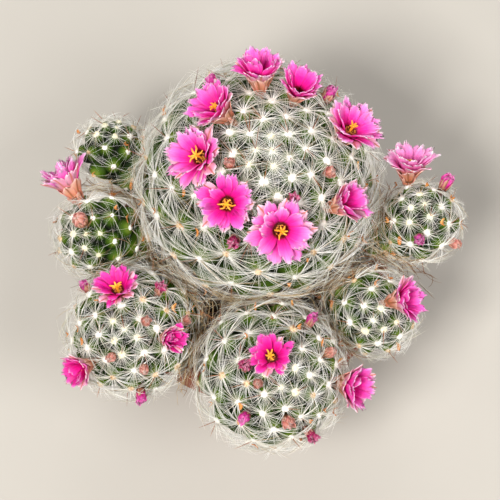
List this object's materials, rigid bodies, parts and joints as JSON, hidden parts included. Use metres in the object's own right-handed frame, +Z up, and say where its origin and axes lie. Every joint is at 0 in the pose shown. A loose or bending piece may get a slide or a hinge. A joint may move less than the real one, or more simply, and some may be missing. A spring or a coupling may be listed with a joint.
{
  "type": "potted mammillaria glassii",
  "caption": "Flowering clump of a small white-haired globular cactus, with pink funnel flowers and buds, in a plain round clay pot.",
  "frame": {"origin": "middle of the flat underside of the pot", "axes": "+Z up through the pot to the crown of the largest head, -Y towards the front, +X to the right"},
  "size_m": [0.1131, 0.1039, 0.1097],
  "materials": {
    "pot": "unglazed fired clay",
    "soil": "gritty potting soil",
    "head": "dull green flesh under white hair-like spines",
    "petal": "soft satin petals",
    "pistil": "dull yellow",
    "bud_rose": "satin rose pink",
    "bud_wine": "dull wine red",
    "bud_salmon": "dull salmon"
  },
  "bodies": {
    "root": {"bloom_01": "petal", "bloom_02": "petal", "bloom_03": "petal", "bloom_04": "petal", "bloom_05": "petal", "bloom_06": "petal", "bloom_07": "petal", "bloom_08": "petal", "bloom_09": "petal", "bloom_10": "petal", "bloom_11": "petal", "bloom_12": "petal", "bloom_13": "petal", "bloom_14": "petal", "bloom_15": "petal", "bloom_16": "petal", "bud_01": "bud_rose", "bud_02": "bud_rose", "bud_03": "bud_wine", "bud_04": "bud_salmon", "bud_05": "bud_salmon", "bud_06": "bud_wine", "bud_07": "bud_salmon", "bud_08": "bud_rose", "bud_09": "bud_rose", "bud_10": "bud_wine", "bud_11": "bud_salmon", "bud_12": "bud_salmon", "bud_13": "bud_salmon", "bud_14": "bud_salmon", "bud_15": "bud_rose", "bud_16": "bud_rose", "bud_17": "bud_salmon", "bud_18": "bud_rose", "bud_19": "bud_rose", "bud_20": "bud_salmon", "bud_21": "bud_wine", "bud_22": "bud_salmon", "bud_23": "bud_salmon", "bud_24": "bud_wine", "head_back_left": "head", "head_front": "head", "head_front_left": "head", "head_front_right": "head", "head_left": "head", "head_mother": "head", "head_right": "head", "pistil_03": "pistil", "pistil_04": "pistil", "pistil_05": "pistil", "pistil_06": "pistil", "pistil_07": "pistil", "pistil_10": "pistil", "pistil_12": "pistil", "pistil_13": "pistil", "pistil_15": "pistil", "pot": "pot", "soil": "soil"}
  },
  "joints": []
}
